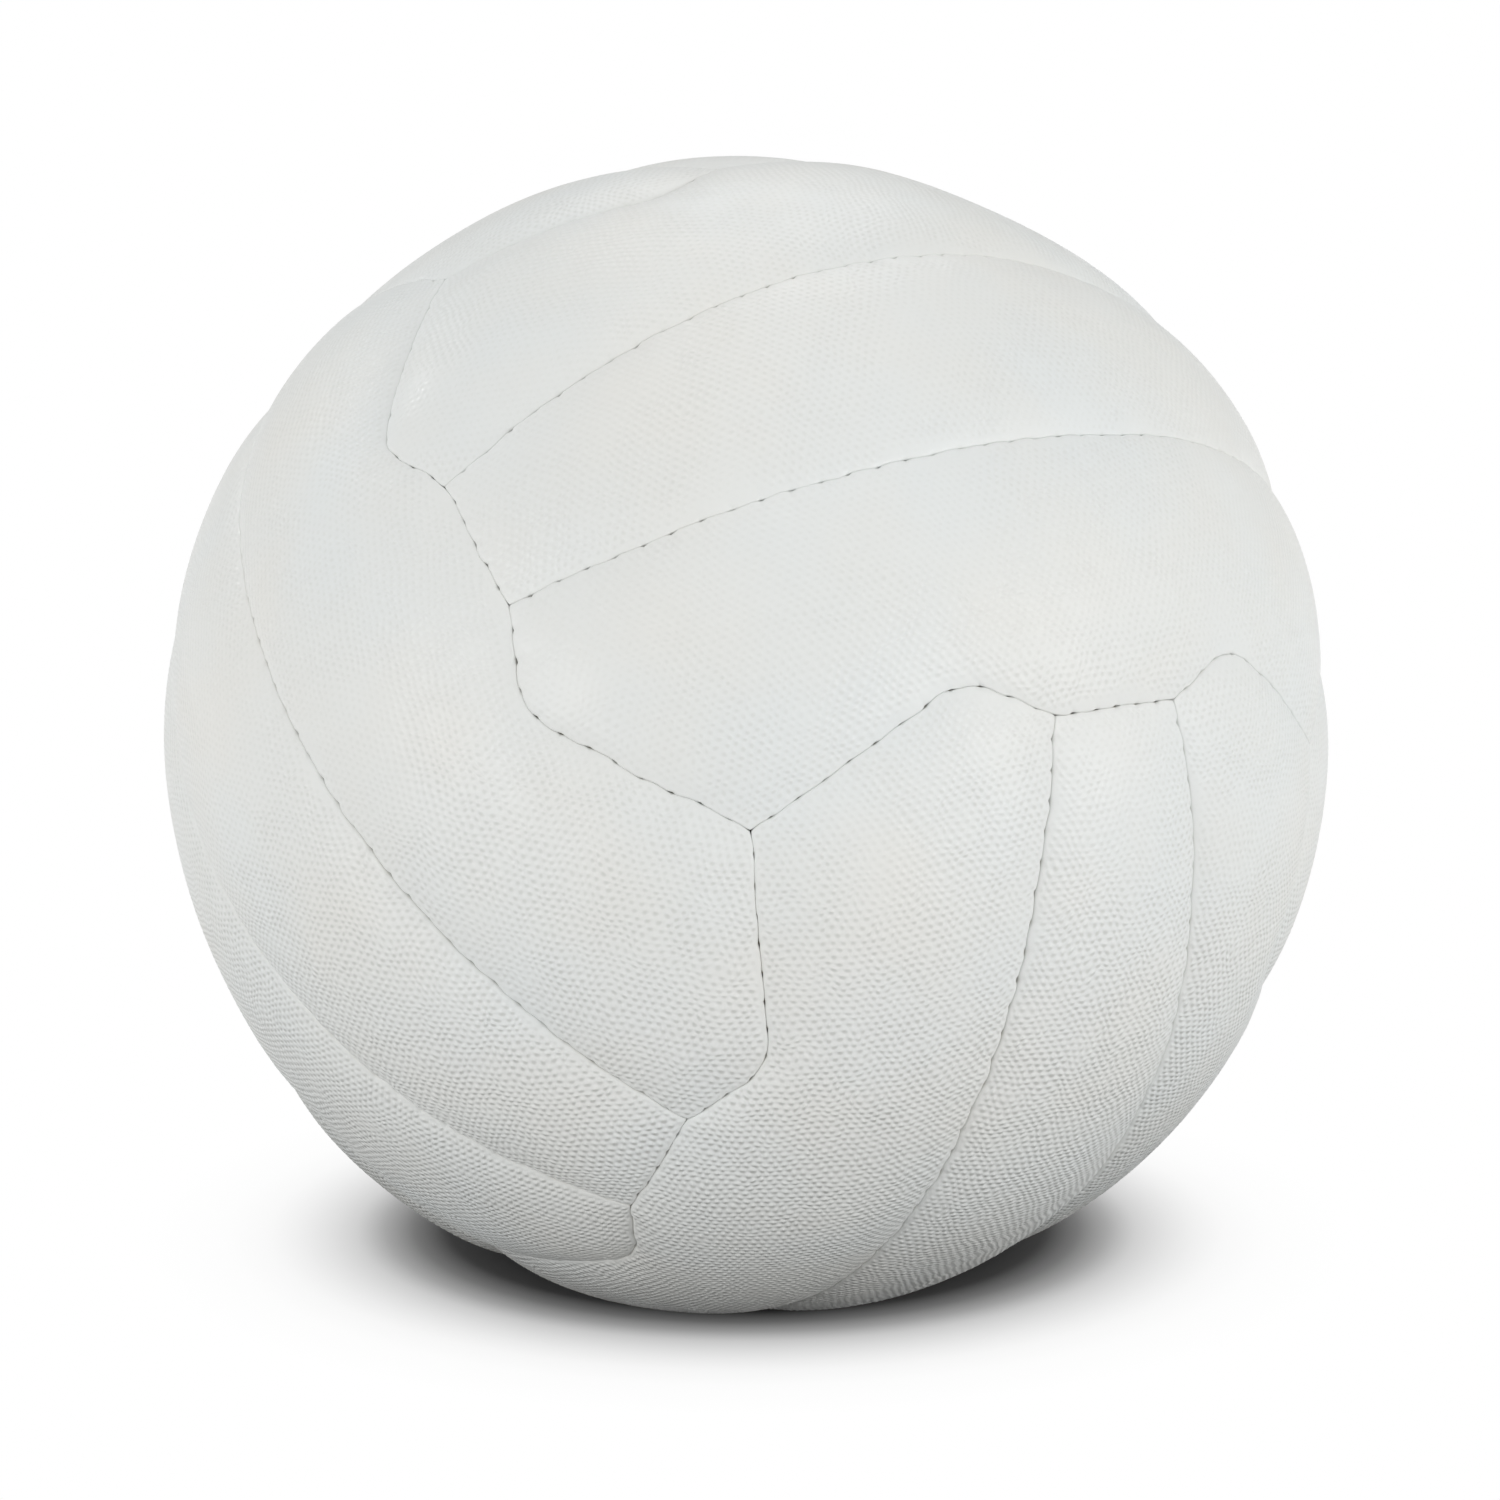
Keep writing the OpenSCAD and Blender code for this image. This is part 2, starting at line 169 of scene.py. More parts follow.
# %% The chains round one face
STRIP_ANGLE = math.radians(11.6)
STRIP_REACH = math.radians(53.1)
BULGE_REACH = math.radians(57.4)
BULGE_SIDE = math.radians(15.7)
BULGE_ROUND = 12.5 / RIM_R


def heading(reach, side):
    return np.array([math.cos(side) * math.sin(reach), math.sin(side), math.cos(side) * math.cos(reach)])


cube_corner = unit([1, 1, 1])
strip_node = heading(STRIP_REACH, math.atan(math.tan(STRIP_ANGLE) * math.cos(STRIP_REACH)))
bulge = heading(BULGE_REACH, BULGE_SIDE)
side_a = unit(np.cross(bulge, cube_corner))
side_b = unit(np.cross(strip_node, bulge))
lean = math.sin(BULGE_ROUND) / (1 + side_a @ side_b) * (side_a + side_b)
round_axis = lean + math.sqrt(1 - lean @ lean) * bulge
round_start = unit(off_axis(round_axis, side_a))
round_end = unit(off_axis(round_axis, side_b))

half_edge = [
    great_arc(cube_corner, round_start),
    round_arc(round_start, round_end, round_axis),
    great_arc(round_end, strip_node),
]
strip_end = [great_arc(strip_node, FLIP_Y @ strip_node)]
strip_seam = [great_arc(FLIP_X @ strip_node, strip_node)]
far_half_edge = moved(backwards(half_edge), FLIP_Y)
for seam_name, chain in (("half edge", half_edge), ("strip end", strip_end), ("strip seam", strip_seam)):
    print(seam_name, round(RIM_R * sum(map(arc_length, chain)), 1), "mm")

# %% [markdown]
# ## Stitches
# The stitches are about 5.2 mm apart. Each one pulls the rims down and a little open, so a seam reads as a
# thin line with a short dark dash at every stitch. A side of a panel therefore knows, at each of its points,
# how near the next stitch and the next corner are.

# %% Points, stitches and corners along a side
STITCH_PITCH = 5.2
STITCH_INSET = 3.9
STITCH_REACH = 0.55
STITCH_WEAKEST = 0.3
CORNER_REACH = 0.5


class Side:
    """One side of a panel: its chains, and +1 where the panel lies to the left of the way they run."""

    def __init__(self, chains, way):
        self.arcs = [arc for chain in chains for arc in chain]
        self.way = way
        self.sections = [RIM_R * sum(map(arc_length, chain)) for chain in chains]
        self.length = sum(self.sections)

    def at(self, shares, inset=0.0, start=0.0):
        """Points at shares of the side, moved into the panel by an inset in mm, from a start at both ends."""
        place = (start + np.asarray(shares) * (self.length - 2 * start)) / RIM_R
        ends = np.cumsum([arc_length(arc) for arc in self.arcs])
        which = np.minimum(np.searchsorted(ends, place), len(self.arcs) - 1)
        points = np.zeros((len(place), 3))
        inward = np.zeros((len(place), 3))
        for k, arc in enumerate(self.arcs):
            here = which == k
            p = on_arc(arc, (place[here] - ends[k] + arc_length(arc)) / arc_length(arc))
            points[here] = p
            inward[here] = self.way * unit(arc[0] - (p @ arc[0])[:, None] * p)
        angle = np.broadcast_to(np.asarray(inset, float) / RIM_R, len(place))
        return unit(points + np.tan(angle)[:, None] * inward), inward

    def nearness(self, shares, dice):
        """How near each point is to a stitch and to a corner, from 0 to 1. Stitches differ in strength."""
        place = np.asarray(shares) * self.length
        stitch = np.zeros(len(place))
        corner = np.zeros(len(place))
        start = 0.0
        for length in self.sections:
            local = place - start
            run = length - 2 * STITCH_INSET
            count = max(1, round(run / STITCH_PITCH))
            for k in range(count + 1):
                off = (local - STITCH_INSET - run * k / count) / STITCH_REACH
                stitch = np.maximum(stitch, dice.uniform(STITCH_WEAKEST, 1.0) * np.exp(-off * off))
            near_end = np.minimum(np.abs(local), np.abs(local - length))
            corner = np.maximum(corner, np.exp(-near_end / CORNER_REACH))
            start += length
        return stitch, corner


print("one stitch every", STITCH_PITCH, "mm, the first", STITCH_INSET, "mm from a corner")

# %% [markdown]
# ## The two kinds of panel
# The middle strip of a face and its two outer strips are the only two shapes. Each has four sides: near, far,
# left and right. The far side of an outer strip is a whole edge of the neighbouring face.

# %% The sides of the two kinds of panel
edge_beyond = moved(backwards(half_edge + strip_end + far_half_edge), FACE_BEFORE)
beyond_chains = [edge_beyond[:3], edge_beyond[3:4], edge_beyond[4:]]
panel_sides = {
    "outer": (
        Side([strip_seam], 1),
        Side(beyond_chains, -1),
        Side([moved(backwards(half_edge), FLIP_X)], -1),
        Side([backwards(half_edge)], 1),
    ),
    "middle": (
        Side([moved(strip_seam, FLIP_Y)], 1),
        Side([strip_seam], -1),
        Side([moved(backwards(strip_end), FLIP_X)], -1),
        Side([backwards(strip_end)], 1),
    ),
}
print({kind: [round(s.length, 1) for s in sides] for kind, sides in panel_sides.items()})

# %% [markdown]
# ## A patch between four sides
# The face of a panel is a grid. A subdivided plane could be shrunk onto the ball, but then its border would
# miss the seams. A patch meets all four sides: each point is a blend of the two lines across it and the two
# along it. Its cells are small beside the seams, where the rim rolls over, and equal in between.

# %% Grid shares and the patch
FACE_CELL = 0.5
FIRST_CELL, CELL_GROWTH = 0.11, 1.32


def cell_shares(length):
    """Shares of a side at its grid lines: small steps at both ends, and equal ones between."""
    steps = []
    step = FIRST_CELL
    while step < FACE_CELL:
        steps.append(step)
        step *= CELL_GROWTH
    run = length - 2 * sum(steps)
    count = round(run / FACE_CELL)
    steps = steps + [run / count] * count + steps[::-1]
    return np.cumsum([0.0] + steps) / length


def patch(near, far, left, right, us, vs):
    """Directions between four sides: the blends across and along, less the corners that both hold."""
    u, v = us[None, :, None], vs[:, None, None]
    across = (1 - v) * near[None] + v * far[None]
    along = (1 - u) * left[:, None] + u * right[:, None]
    corners = (1 - v) * ((1 - u) * near[0] + u * near[-1]) + v * ((1 - u) * far[0] + u * far[-1])
    return unit(across + along - corners)


def inset_sides(sides, us, vs, insets, start):
    """The four sides' points moved in by their insets, with the two that share a corner made one."""
    shares = (us, us, vs, vs)
    found = [side.at(share, inset, start) for side, share, inset in zip(sides, shares, insets)]
    points = [f[0] for f in found]
    for a, b, i, j in ((0, 2, 0, 0), (0, 3, -1, 0), (1, 2, 0, -1), (1, 3, -1, -1)):
        corner, inward_a = sides[a].at([0.0 if i == 0 else 1.0])
        inward_b = sides[b].at([0.0 if j == 0 else 1.0])[1]
        lean_in = (inward_a + inward_b)[0] / (1 + inward_a[0] @ inward_b[0])
        inset = float(np.broadcast_to(insets[a], len(shares[a]))[i])
        points[a][i] = points[b][j] = unit(corner[0] + math.tan(inset / RIM_R) * lean_in)
    return points


# About how long and how wide each kind of panel is, in mm.
PANEL_RUNS = {"outer": (175, 55), "middle": (200, 38)}
print("grid lines:", {kind: [len(cell_shares(run)) for run in runs] for kind, runs in PANEL_RUNS.items()})

# %% [markdown]
# ## Small irregularities
# Hand-cut panels and hand-pulled thread are never exact. A noise texture on a Displace modifier could do
# this, but it moves each panel along its own normals, so the two panels at a seam would part. Fields of soft
# random waves, fixed in space, move both alike, sideways and in or out by a few tenths of a millimetre.

# %% Fields that the whole ball shares
# Each row is how many waves there are, the shortest and the longest in mm, and the size of the whole field.
SHIFT_WAVES = (24, 9, 40, 0.12)
WOBBLE_WAVES = (24, 3.5, 8, 0.1)
SWELL_WAVES = (20, 25, 70, 0.1)
BALL_SEED = 7


def ripples(dice, count, shortest, longest, size):
    """A smooth field of random waves in space, of about the given size, for points in mm."""
    turns = unit(dice.normal(size=(count, 3)))
    waves = turns * (2 * np.pi / dice.uniform(shortest, longest, count))[:, None]
    phases = dice.uniform(0, 2 * np.pi, count)
    return lambda p: size * math.sqrt(2 / count) * np.sin(p @ waves.T + phases).sum(axis=-1)


ball_dice = np.random.default_rng(BALL_SEED)
shift_fields = [ripples(ball_dice, *SHIFT_WAVES) for _ in range(3)]
wobble_fields = [ripples(ball_dice, *WOBBLE_WAVES) for _ in range(3)]
swell_field = ripples(ball_dice, *SWELL_WAVES)
print("swell on the top of the ball:", round(float(swell_field(np.array([0.0, 0.0, RIM_R]))), 2), "mm")

# %% [markdown]
# ## Out of round
# A pumped ball isn't quite round. In the photograph its outline stands up to 1.2 mm inside a circle at some
# places and 0.9 mm outside it at others, so wide, soft swells are put at those places.

# %% Swells on the outline
CROWN_R = 112.0
# Each row is a place on the outline in degrees from the right, then how far the ball swells out there and how
# widely, in mm.
OUTLINE_SWELLS = (
    (32, 0.9, 26), (66, -1.2, 15), (92, -0.9, 14), (120, -1.2, 20),
    (168, 0.4, 18), (205, -1.0, 26), (-14, -0.4, 20),
)


def outline_swell(p):
    """How far the ball is out of round at points in mm."""
    tilt = math.asin(CROWN_R * MM / CAMERA_DISTANCE)
    to_camera = camera.location.normalized()
    right = Vector((1, 0, 0))
    up = to_camera.cross(right)
    total = np.zeros(p.shape[:-1])
    for degrees, height, width in OUTLINE_SWELLS:
        a = math.radians(degrees)
        middle = math.cos(tilt) * (math.cos(a) * right + math.sin(a) * up) + math.sin(tilt) * to_camera
        off = np.linalg.norm(p - RIM_R * np.array(middle), axis=-1) / width
        total += height * np.exp(-off * off / 2)
    return total


swell_heights = [height for degrees, height, width in OUTLINE_SWELLS]
print("swells on the outline from", min(swell_heights), "to", max(swell_heights), "mm")

# %% [markdown]
# ## Where each face goes
# Each panel is made on the face that looks up. One turn about the cube's corner and one over bring it to its
# face, and the last three turns lay the whole ball as it lies in the photograph.

# %% Turns
FACE_TURNS = {
    "top": (0, 0), "bottom": (0, 180),
    "left": (120, 0), "right": (120, 180),
    "front": (240, 0), "back": (240, 180),
}
LIE_X, LIE_Y, LIE_Z = -39.8, -1.5, -144.3


def turned(degrees, axis):
    return Matrix.Rotation(math.radians(degrees), 3, axis)


lie = turned(LIE_Z, "Z") @ turned(LIE_Y, "Y") @ turned(LIE_X, "X")


def face_turn(face, spin=0):
    about_corner, over = FACE_TURNS[face]
    return lie @ turned(about_corner, Vector((1, 1, 1))) @ turned(over, "X") @ turned(spin, "Z")


print("the valve's way out:", [round(c, 3) for c in face_turn("back") @ Vector((0, 0, 1))])

# %% [markdown]
# ## The outline of a panel's face
# The two rims of a seam nearly touch, except at the stitches and the corners, where the thread draws them a
# little apart. The border of the patch is moved in by half of that gap.

# %% Outline of a face
HALF_GAP = 0.012
STITCH_HALF_GAP = 0.18
CORNER_HALF_GAP = 0.15


def face_outline(kind, dice):
    """Directions to the face's grid points, the grid's shares, and the nearness to stitches and corners."""
    sides = panel_sides[kind]
    us, vs = [cell_shares(run) for run in PANEL_RUNS[kind]]
    near_to = [side.nearness(share, dice) for side, share in zip(sides, (us, us, vs, vs))]
    insets = [
        HALF_GAP + (STITCH_HALF_GAP - HALF_GAP) * s + (CORNER_HALF_GAP - HALF_GAP) * c for s, c in near_to
    ]
    rows = patch(*inset_sides(sides, us, vs, insets, CORNER_HALF_GAP), us, vs)
    return rows, us, vs, near_to


print("a seam is", 2 * HALF_GAP, "mm open, and up to", 2 * STITCH_HALF_GAP, "mm at a stitch")

# %% [markdown]
# ## The dome and the rolled rim
# A panel is pumped up between its seams: it rises fast over the rolled rim and then slowly over the next two
# centimetres. A bevel on the border would roll the rim too, but it would leave the panel flat. Here each side
# fades with the distance from it, and the product of the four fades keeps the corners free of creases.

# %% Dome, roll and the stitches' pull
DOME_DROP, DOME_REACH = 2.1, 6.5
ROLL_DROP, ROLL_REACH = 0.25, 0.2
STITCH_DROP, STITCH_FADE = 0.4, 0.6


def rim_fades(rows, near_to):
    """Dome, roll and stitch pull at the grid points, from 0 to about 1, and the distance to a seam in mm."""
    lines = (rows[0][None], rows[-1][None], rows[:, 0][:, None], rows[:, -1][:, None])
    away = [RIM_R * np.linalg.norm(rows - line, axis=-1) for line in lines]
    dome = 1 - np.prod([1 - np.exp(-d / DOME_REACH) for d in away], axis=0)
    roll = 1 - np.prod([1 - np.exp(-d / ROLL_REACH) for d in away], axis=0)
    pull = sum(
        (s[None, :] if k < 2 else s[:, None]) * np.exp(-d / STITCH_FADE)
        for k, (d, (s, _)) in enumerate(zip(away, near_to))
    )
    return dome, roll, pull, np.min(away, axis=0)


print("from crown to rim:", DOME_DROP + ROLL_DROP, "mm, and", STITCH_DROP, "mm more at a stitch")

# %% [markdown]
# ## Pimples
# The rubber has low pimples for grip, 1.6 mm apart along level rows that are 1.2 mm apart. Each could be a
# small dome of its own, but there are tens of thousands. Three crossed waves give the same staggered rows as
# relief on the grid. The panel is laid flat for them, turned until the rows are level on the lying ball, and
# warped a little, as moulded rubber is.

# %% The pattern laid on a panel
GRIP_PITCH, GRIP_ROW = 1.6, 1.2
WARP_WAVES = (16, 12, 50, 0.35)
JITTER_WAVES = (32, 2.5, 7, 0.12)
ROW_TILT = 0.15
PANEL_MIDDLE = {"outer": math.radians(26), "middle": 0.0}
LATTICE = 2 * np.pi * np.array([
    [1 / GRIP_PITCH, 0.5 / GRIP_ROW], [1 / GRIP_PITCH, -0.5 / GRIP_ROW], [0, 1 / GRIP_ROW],
])


def grip(q):
    """Height of the grip pattern at lattice points in mm: -0.5 between the pimples, 1 on their tops."""
    return np.cos(q @ LATTICE.T).sum(axis=-1) / 3


def lattice_points(kind, turn, rows, in_space, dice):
    """Where each grid point lies in the flat pattern, in mm."""
    lean_back = PANEL_MIDDLE[kind]
    y = rows[..., 1] * math.cos(lean_back) - rows[..., 2] * math.sin(lean_back)
    z = rows[..., 1] * math.sin(lean_back) + rows[..., 2] * math.cos(lean_back)
    flat = RIM_R * np.stack([np.arctan2(rows[..., 0], z), np.arcsin(y)], axis=-1)
    level_way = np.cross(turn.inverted() @ Vector((0, 0, 1)), (0, math.sin(lean_back), math.cos(lean_back)))
    spin = math.atan2(level_way[1] * math.cos(lean_back) - level_way[2] * math.sin(lean_back), level_way[0])
    spin += dice.uniform(-ROW_TILT, ROW_TILT)
    spun = flat @ np.array([[math.cos(spin), -math.sin(spin)], [math.sin(spin), math.cos(spin)]])
    warp = [ripples(dice, *WARP_WAVES) for _ in range(2)]
    jitter = [ripples(dice, *JITTER_WAVES) for _ in range(2)]
    return spun + np.stack([w(in_space) + j(in_space) for w, j in zip(warp, jitter)], axis=-1)


print("pattern from", round(float(grip(np.array([0, 2 / 3 * GRIP_ROW]))), 2), "to", grip(np.zeros(2)))

# %% [markdown]
# ## Where the relief is strong
# The pimples fade out beside the seams, where the rubber is stretched over its rolled rim, and are worn in
# places, most of all on the upper half. The lower half shows coarser pimples and deeper seams.

# %% Relief and depth
GRIP_FADE_START, GRIP_FADE_END = 0.2, 1.3
SMOOTH_MARGIN = 4.0
MARGIN_WAVES = (12, 12, 40, 0.7)
WORN_WAVES = (12, 20, 60, 0.7)
UNEVEN_WAVES = (24, 4, 12, 0.12)
PATCH_START = 0.1
WORN_SHARE = 0.5
WORN_LEAST, WORN_ABOVE, WORN_RUN = 0.15, -40.0, 60.0
COARSE_LEAST, COARSE_GAIN, COARSE_BELOW, COARSE_RUN = 0.5, 0.95, 45.0, 120.0
DEEP_LEAST, DEEP_BELOW, DEEP_RUN = 0.3, 65.0, 120.0


def smooth_step(x):
    x = np.clip(x, 0, 1)
    return x * x * (3 - 2 * x)


def pimple_relief(in_space, edge, dice):
    """Strength of the pimples at points in mm, from 0 beside a seam."""
    height = in_space[..., 2]
    wear = WORN_LEAST + (1 - WORN_LEAST) * smooth_step((height - WORN_ABOVE) / WORN_RUN)
    smooth_patches = smooth_step(ripples(dice, *MARGIN_WAVES)(in_space) - PATCH_START)
    margin = GRIP_FADE_END + SMOOTH_MARGIN * wear * smooth_patches
    relief = smooth_step((edge - GRIP_FADE_START) / (margin - GRIP_FADE_START))
    worn = WORN_SHARE * wear * smooth_step(ripples(dice, *WORN_WAVES)(in_space) - PATCH_START)
    relief = relief * (1 - worn) * (1 + ripples(dice, *UNEVEN_WAVES)(in_space))
    return relief * (COARSE_LEAST + COARSE_GAIN * smooth_step((COARSE_BELOW - height) / COARSE_RUN))


def seam_depth(in_space):
    return DEEP_LEAST + (1 - DEEP_LEAST) * smooth_step((DEEP_BELOW - in_space[..., 2]) / DEEP_RUN)


print("seam depth on the top and at the foot:", seam_depth(np.array([[0, 0, RIM_R], [0, 0, -RIM_R]])))

# %% [markdown]
# ## The face of a panel
# Everything above comes together here: the outline, the dome, the rolled rim, the stitches and the pimples
# give each grid point its level. The pattern and the nearness to a seam are kept too, because the rubber's
# finish follows them.

# %% Points of a face
GRIP_H = 0.055
FULLNESS_REACH = 5.0
THREAD_SHADE_REACH = 0.2
THREAD_SHADE_LEAST = 0.5


def face_of_panel(kind, turn, dice):
    """Points of a panel's face in mm before its turn, the pattern's data on them, and the grid's shares."""
    rows, us, vs, near_to = face_outline(kind, dice)
    dome, roll, pull, edge = rim_fades(rows, near_to)
    in_space = RIM_R * rows @ np.array(turn).T
    shift = np.stack([f(in_space) + g(in_space) for f, g in zip(shift_fields, wobble_fields)], axis=-1)
    points = unit(rows + shift @ np.array(turn) / RIM_R)
    lattice = lattice_points(kind, turn, rows, in_space, dice)
    relief = pimple_relief(in_space, edge, dice)
    depth = seam_depth(in_space)

    swell = outline_swell(in_space)
    swell = np.where(swell < 0, swell * (1 - np.exp(-edge / FULLNESS_REACH)), swell) + swell_field(in_space)
    level = CROWN_R + swell - DOME_DROP * dome - ROLL_DROP * depth * roll - STITCH_DROP * pull
    level = level + GRIP_H * relief * grip(lattice)
    # The seams' beige tint and painted shade: strongest in the groove, at the stitches and low on the ball.
    seam = depth * np.exp(-edge / THREAD_SHADE_REACH) * (THREAD_SHADE_LEAST + np.minimum(pull, 1.0))
    return points * level[..., None], np.concatenate([lattice, relief[..., None]], axis=-1), seam, us, vs


print("pimples stand", 1.5 * GRIP_H, "mm high at a relief of 1")

# %% [markdown]
# ## Grids as meshes
# Blender's own grid operator makes the faces, and each of its vertices is then put at its place in the patch.
# The border is found again by its row and column, so that it can be extruded.

# %% Grids and their borders
def grid_on(mesh, rows):
    """Adds a grid whose points are the rows, and gives its vertices as an array of the same shape."""
    nj, ni = rows.shape[:2]
    before = len(mesh.verts)
    bmesh.ops.create_grid(mesh, x_segments=ni - 1, y_segments=nj - 1, size=0.5)
    mesh.verts.ensure_lookup_table()
    table = np.empty((nj, ni), dtype=object)
    for vert in mesh.verts[before:]:
        i, j = round((vert.co.x + 0.5) * (ni - 1)), round((vert.co.y + 0.5) * (nj - 1))
        table[j, i] = vert
        vert.co = rows[j, i]
    return table


def border_verts(table):
    return list(table[0, :-1]) + list(table[:-1, -1]) + list(table[-1, :0:-1]) + list(table[:0:-1, 0])


def border_loop(points):
    """One closed line round the four sides, from the corner of near and left, counter-clockwise."""
    near, far, left, right = points
    return np.concatenate([near[:-1], right[:-1], far[:0:-1], left[:0:-1]])


def loop_edges(mesh, verts):
    return [mesh.edges.get((a, b)) for a, b in zip(verts, verts[1:] + verts[:1])]


def extruded_loop(mesh, verts, places):
    """Extrudes a closed loop of vertices and puts the new loop at the places."""
    made = bmesh.ops.extrude_edge_only(mesh, edges=loop_edges(mesh, verts))["geom"]
    new = {v for v in made if isinstance(v, bmesh.types.BMVert)}
    loop = []
    for vert, place in zip(verts, places):
        twin = next(e.other_vert(vert) for e in vert.link_edges if e.other_vert(vert) in new)
        twin.co = place
        loop.append(twin)
    return loop


sample = bmesh.new()
sample_border = border_verts(grid_on(sample, np.zeros((3, 4, 3))))
print("a grid of 4 by 3 points has a border of", len(sample_border), "points")
sample.free()

# %% [markdown]
# ## The valve's hole
# Only the middle panel of the back face has the hole for the valve. A Boolean modifier could cut it, but it
# leaves slivers on so fine a grid. The points of the grid inside the hole are deleted, the open edge is drawn
# to a true circle, and the edge is extruded down to the underside and bridged to an opening there.

# %% Cut the hole
UNDER_R = 109.5
HOLE_R = 4.1
HOLE_LIP = 0.15
HOLE_SEARCH = 16.0
UNDER_HOLE_R = 6.0


def axis_distance(vert):
    return math.hypot(vert.co.x, vert.co.y)


def open_edges(mesh):
    return [e for e in mesh.edges if e.is_boundary and axis_distance(e.verts[0]) < HOLE_SEARCH * MM]


def open_grid(mesh, verts, radius):
    """Deletes a grid's points within a radius of the panel's middle."""
    bmesh.ops.delete(mesh, geom=[v for v in verts if axis_distance(v) < radius * MM], context="VERTS")


def cut_face_hole(mesh, verts):
    open_grid(mesh, verts, HOLE_R)
    edges = open_edges(mesh)
    for vert in {v for e in edges for v in e.verts}:
        scale = HOLE_R * MM / axis_distance(vert)
        vert.co.x *= scale
        vert.co.y *= scale
        vert.co.z -= HOLE_LIP * MM
    made = bmesh.ops.extrude_edge_only(mesh, edges=edges)["geom"]
    for vert in (v for v in made if isinstance(v, bmesh.types.BMVert)):
        vert.co.z = math.sqrt((UNDER_R * MM) ** 2 - axis_distance(vert) ** 2)


def cut_under_hole(mesh, verts):
    open_grid(mesh, verts, UNDER_HOLE_R)
    bmesh.ops.bridge_loops(mesh, edges=open_edges(mesh))


print("the valve's hole:", 2 * HOLE_R, "mm across in the face,", 2 * UNDER_HOLE_R, "mm on the underside")

# %% [markdown]
# ## A panel as one closed skin
# A Solidify modifier could give a panel its thickness, but it would repeat the whole fine grid on the inside.
# Instead the face's border is extruded in three steps, down the seam, inwards under the rim and up again, and
# bridged to a coarse underside. Each panel is then one closed skin, as thick as the real rubber, with most of
# its faces where they are seen.

# %% Build a panel
FLANGE_R = 107.2
FLANGE_T = 1.6
UNDER_INSET = 5.0
UNDER_CELL = 6.0


def under_grid(kind):
    """Directions to the points of the coarse underside."""
    sides = panel_sides[kind]
    us, vs = [np.linspace(0, 1, max(3, round(run / UNDER_CELL))) for run in PANEL_RUNS[kind]]
    insets = [np.full(len(share), UNDER_INSET) for share in (us, us, vs, vs)]
    return patch(*inset_sides(sides, us, vs, insets, UNDER_INSET), us, vs)


def panel_mesh(kind, turn, seed, has_valve):
    face, lattice, seam, us, vs = face_of_panel(kind, turn, np.random.default_rng(seed))
    mesh = bmesh.new()
    lattice_layer = mesh.verts.layers.float_vector.new("lattice")
    seam_layer = mesh.verts.layers.float.new("seam")
    table = grid_on(mesh, face * MM)
    for vert, q, shade in zip(table.flat, lattice.reshape(-1, 3), seam.flat):
        vert[lattice_layer] = q
        vert[seam_layer] = shade

    under = grid_on(mesh, UNDER_R * MM * under_grid(kind))
    rim = border_verts(table)
    down = [FLANGE_R * MM * v.co.normalized() for v in rim]
    foot_inset = FLANGE_T + HALF_GAP
    insets = [np.full(len(share), foot_inset) for share in (us, us, vs, vs)]
    foot = border_loop(inset_sides(panel_sides[kind], us, vs, insets, foot_inset))
    outer_foot = extruded_loop(mesh, rim, down)
    inner_foot = extruded_loop(mesh, outer_foot, FLANGE_R * MM * foot)
    inner_top = extruded_loop(mesh, inner_foot, UNDER_R * MM * foot)
    bmesh.ops.bridge_loops(mesh, edges=loop_edges(mesh, inner_top) + loop_edges(mesh, border_verts(under)))
    if has_valve:
        cut_face_hole(mesh, table.flat)
        cut_under_hole(mesh, under.flat)
    bmesh.ops.transform(mesh, matrix=turn.to_4x4(), verts=mesh.verts)
    return mesh


print("rims turned in to", FLANGE_R, "mm from the middle,", FLANGE_T, "mm thick")

# %% [markdown]
# ## All eighteen panels
# Each panel is made on the face that looks up, and then turned to its place. It rides on the ball's one body,
# and stands for the CAD panel of the same name, so its box is compared with that panel's box.

# %% Make the panels
def finished_piece(name, mesh, nodes_replaced):
    """Turns a bmesh into a piece that rides on the ball and stands for the CAD nodes."""
    data = bpy.data.meshes.new(name)
    bmesh.ops.recalc_face_normals(mesh, faces=mesh.faces)
    mesh.to_mesh(data)
    mesh.free()
    data.shade_smooth()
    piece = bpy.data.objects.new(name, data)
    bpy.context.scene.collection.objects.link(piece)
    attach(piece, "root")
    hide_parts(*nodes_replaced)
    return piece


PANELS = (("middle", 0, "middle_panel"), ("outer", 0, "outer_panel_a"), ("outer", 180, "outer_panel_b"))
FIRST_SEED = 100
skins = []
worst = 0.0
for face_name in FACE_TURNS:
    for kind, spin, ending in PANELS:
        name = f"{face_name}_{ending}"
        seed = FIRST_SEED + len(skins)
        mesh = panel_mesh(kind, face_turn(face_name, spin), seed, name == "back_middle_panel")
        skin = finished_piece(name + "_skin", mesh, [name])
        corners = np.array([v.co for v in skin.data.vertices])
        low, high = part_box(name)
        worst = max(worst, np.abs(corners.min(axis=0) - low).max(), np.abs(corners.max(axis=0) - high).max())
        skins.append(skin)
print("panels:", len(skins), "faces:", sum(len(s.data.polygons) for s in skins))
print("largest difference from a CAD panel's box:", round(worst / MM, 2), "mm")

# %% [markdown]
# ## The valve
# A ball's valve is a rubber stem with a self-sealing plug in it. Both are turned shapes, so a closed outline
# is spun round the valve's axis, and its sharp circles get a small bevel.

# %% Spin an outline
TURN_STEPS = 72
SOFT_EDGE = 0.12
MERGE_DISTANCE = 0.001
SHARP_ANGLE = math.radians(30)


